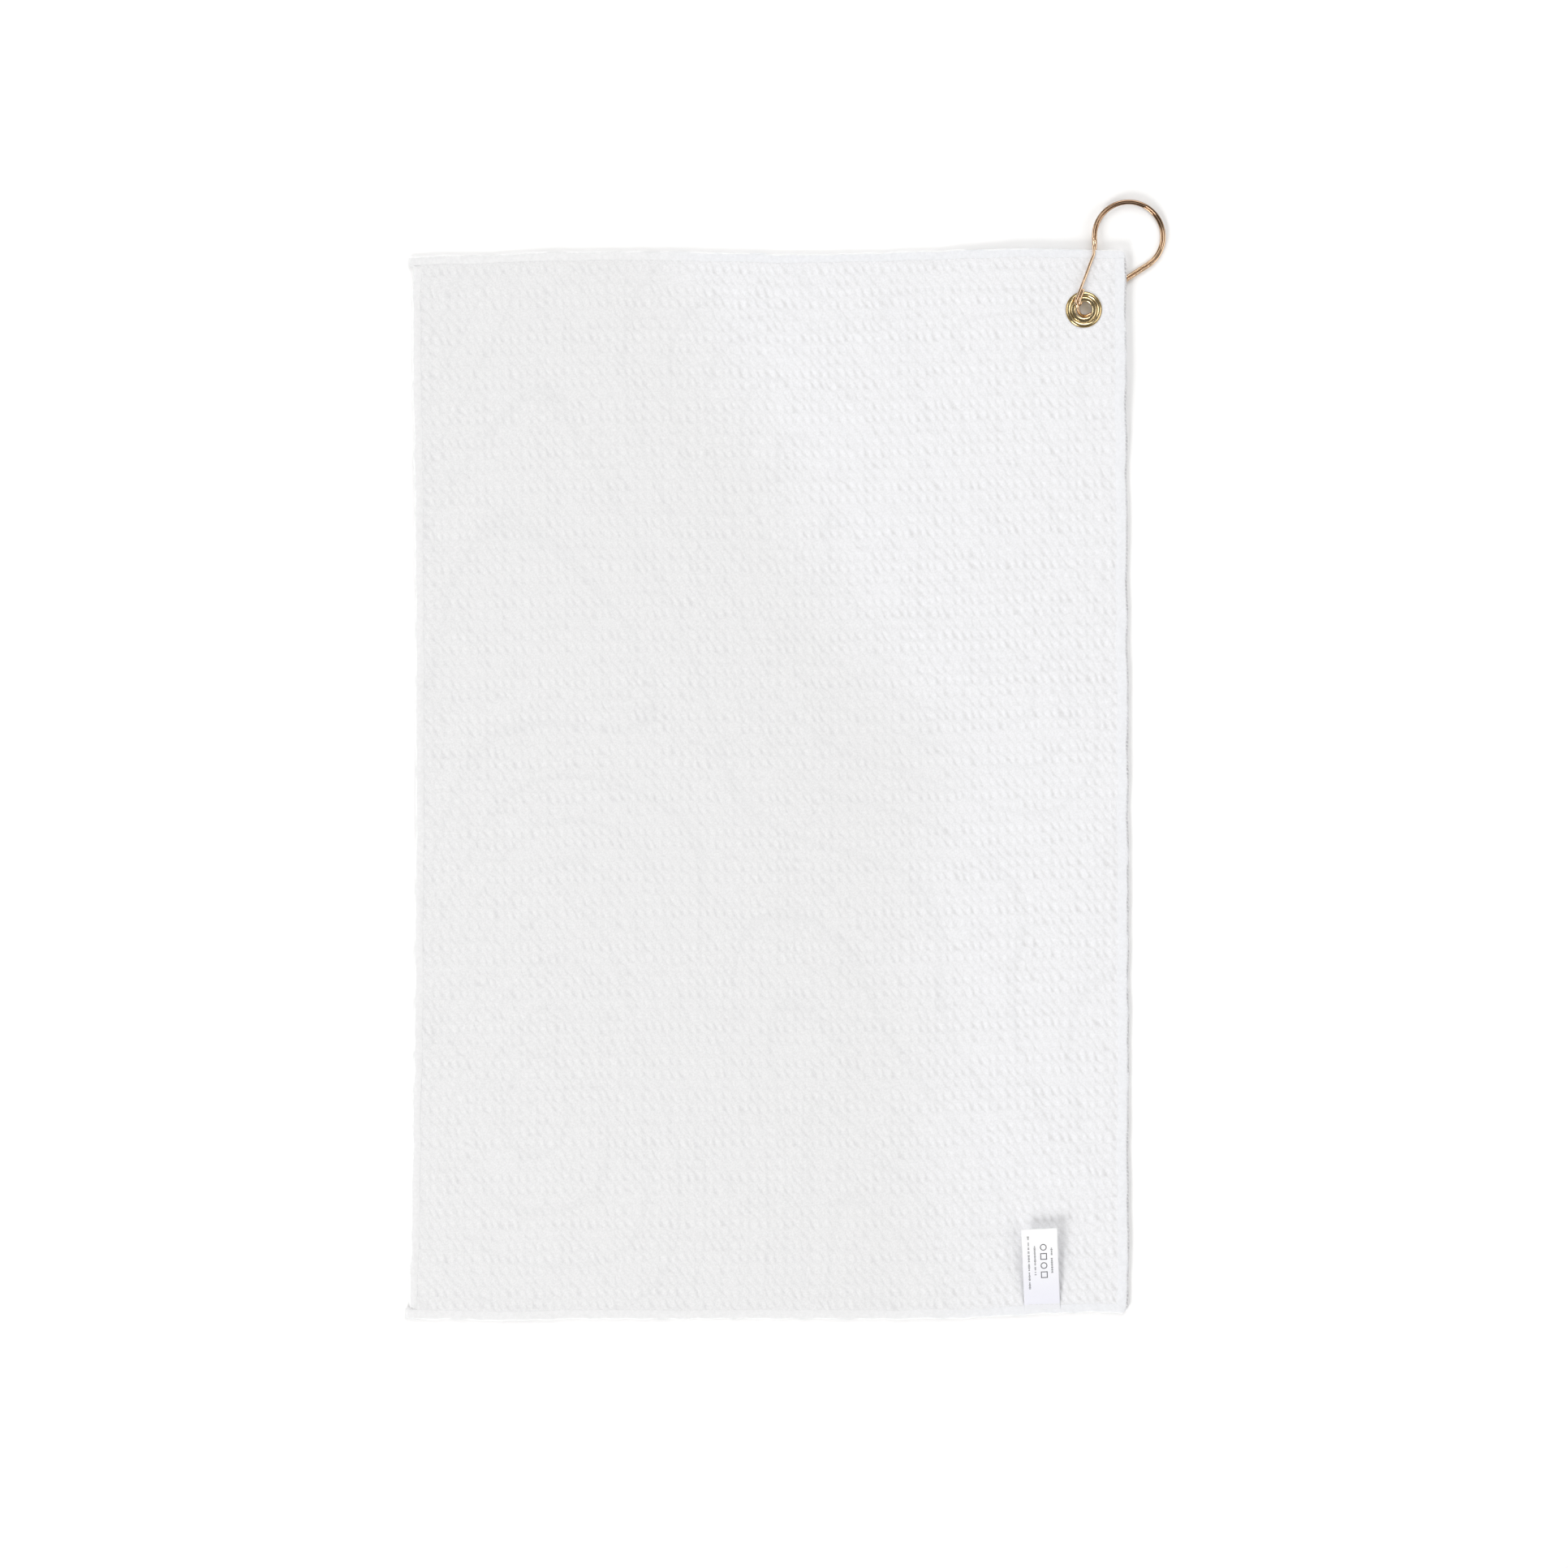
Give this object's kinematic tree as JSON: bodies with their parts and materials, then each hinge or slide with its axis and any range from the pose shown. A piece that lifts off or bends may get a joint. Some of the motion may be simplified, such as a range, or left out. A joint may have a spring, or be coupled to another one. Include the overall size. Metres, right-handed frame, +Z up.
{
  "type": "golf towel",
  "caption": "Waffle-weave golf towel lying flat, with folded hems, a brass corner grommet, a doubled wire hook through it and a care label in the bottom hem.",
  "frame": {"origin": "middle of the towel's underside, on the surface it lies on", "axes": "+Z up out of the cloth, +Y along its length to the end with the grommet, +X across to the side with the grommet"},
  "size_m": [0.4316, 0.639, 0.0091],
  "materials": {
    "towel_cloth": "matt waffle weave",
    "hem_cloth": "matt smooth weave",
    "thread": "spun polyester thread",
    "grommet_brass": "polished, lacquered",
    "hook_wire": "polished copper-coloured plating",
    "label_satin": "satin tape"
  },
  "bodies": {
    "towel": {"towel_panel": "towel_cloth", "top_hem": "hem_cloth", "bottom_hem": "hem_cloth", "left_hem": "hem_cloth", "right_hem": "hem_cloth", "top_hem_stitching": "thread", "bottom_hem_stitching": "thread", "left_hem_stitching": "thread", "right_hem_stitching": "thread", "right_edge_overlock": "thread", "grommet_eyelet": "grommet_brass", "grommet_washer": "grommet_brass"},
    "hook": {"wire_hook": "hook_wire"},
    "label": {"care_label": "label_satin"}
  },
  "joints": [
    {"name": "hook_swing", "type": "hinge", "parent": "towel", "child": "hook", "pos_m": [0.1794, 0.2713, 0.005], "axis": [0, 0, 1], "range_deg": [-16, 34]},
    {"name": "label_fold", "type": "hinge", "parent": "towel", "child": "label", "pos_m": [0.1557, -0.2962, 0.003], "axis": [0.999, 0.0436, 0], "range_deg": [-7, 150]}
  ]
}
